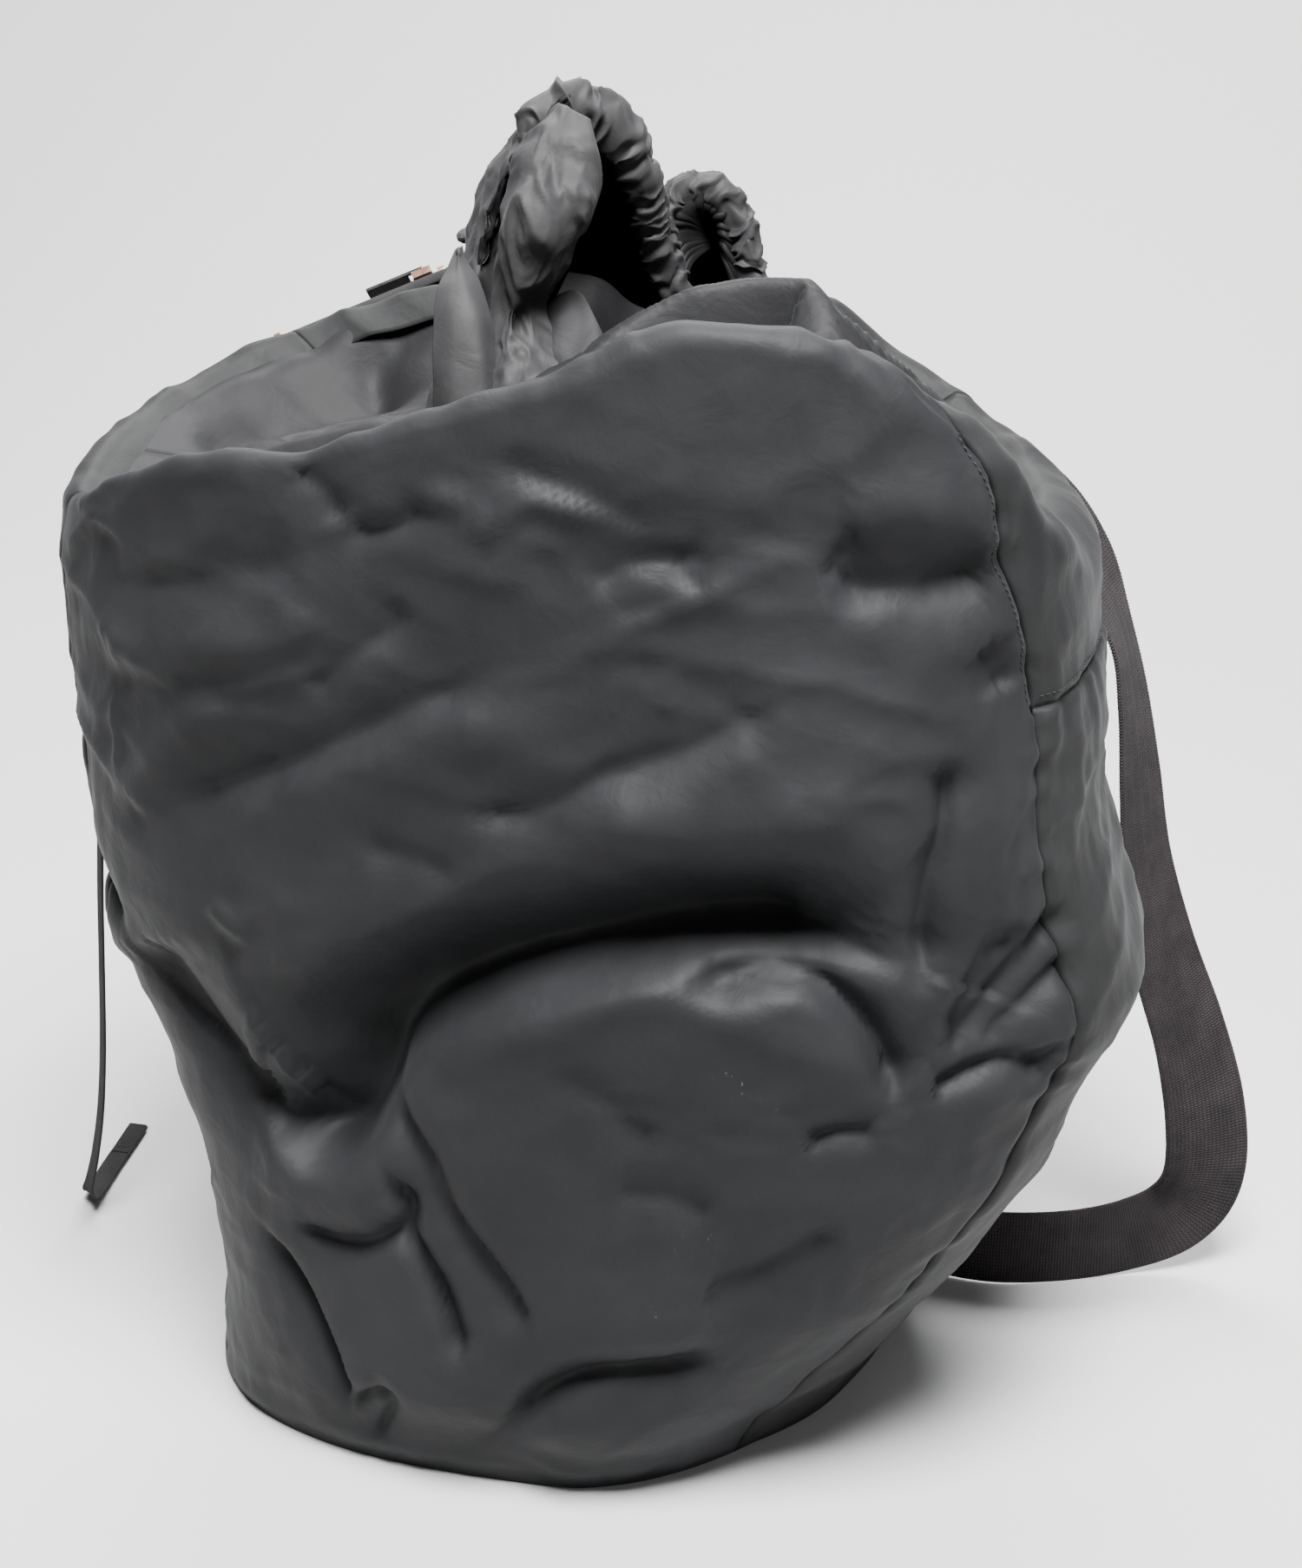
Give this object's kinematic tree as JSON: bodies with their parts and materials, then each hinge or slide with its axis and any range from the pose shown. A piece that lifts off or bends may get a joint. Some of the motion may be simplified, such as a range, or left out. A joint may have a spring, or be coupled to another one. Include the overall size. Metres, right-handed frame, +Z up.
{
  "type": "drawstring sack",
  "caption": "Stuffed soft nylon sack with a gathered drawstring throat, a webbing shoulder strap, a draw tape and a zipped key pocket.",
  "frame": {"origin": "on the floor, under the middle of the sack's box without the draw tape", "axes": "+Z up, front face towards -Y, strap side towards +X"},
  "size_m": [0.528, 0.2435, 0.5415],
  "materials": {
    "nylon": "satin",
    "nylon_inside": "satin",
    "webbing": "matte",
    "tape": "matte",
    "elastic": "matte",
    "black_plastic": "satin",
    "copper_metal": "polished",
    "black_metal": "satin",
    "spring_steel": "satin",
    "board": "matte"
  },
  "bodies": {
    "sack": {"back_panel": "nylon", "back_yoke": "nylon_inside", "base_board": "board", "base_panel": "nylon", "channel_back": "nylon", "channel_front": "nylon", "draw_cord": "elastic", "draw_cord_knot": "elastic", "draw_tape": "tape", "draw_tape_end": "tape", "eyelet": "black_metal", "front_panel": "nylon", "front_yoke": "nylon_inside", "hang_loop": "webbing", "left_side_panel": "nylon", "pocket_bag": "nylon_inside", "right_lower_side_panel": "nylon", "right_upper_side_panel": "nylon", "seam_binding_left": "tape", "seam_binding_right": "tape", "strap_anchor_patch": "webbing", "strap_lower_tab": "webbing", "strap_webbing": "webbing", "throat_back": "nylon", "throat_front": "nylon", "zip_coil_lower": "black_plastic", "zip_coil_upper": "black_plastic", "zip_stop_left": "copper_metal", "zip_stop_right": "copper_metal", "zip_tape_lower": "tape", "zip_tape_upper": "tape"},
    "zip_slider": {"zip_slider": "copper_metal"},
    "zip_pull": {"zip_pull": "copper_metal"},
    "cord_lock": {"cord_lock_body": "black_plastic", "cord_lock_spring": "spring_steel"},
    "cord_button": {"cord_lock_button": "black_plastic"},
    "strap_adjuster": {"strap_slider": "black_plastic"}
  },
  "joints": [
    {"name": "zip_slide", "type": "slide", "parent": "sack", "child": "zip_slider", "axis": [-0.8904, -0.2751, -0.3627], "range_m": [0, 0.058]},
    {"name": "zip_pull_hinge", "type": "hinge", "parent": "zip_slider", "child": "zip_pull", "pos_m": [-0.12828, 0.11071, 0.43574], "axis": [0.1396, 0.5933, -0.7928], "range_deg": [0, 150]},
    {"name": "cord_lock_slide", "type": "slide", "parent": "sack", "child": "cord_lock", "axis": [-0.766, 0.6428, 0], "range_m": [-0.005, 0.013]},
    {"name": "cord_button_press", "type": "slide", "parent": "cord_lock", "child": "cord_button", "axis": [0, 0, -1], "range_m": [0, 0.0016], "stiffness_N_per_m": 400, "deforming": ["cord_lock_spring"]},
    {"name": "strap_adjuster_slide", "type": "slide", "parent": "sack", "child": "strap_adjuster", "axis": [0.9588, 0.0032, -0.284], "range_m": [-0.012, 0.012]}
  ]
}
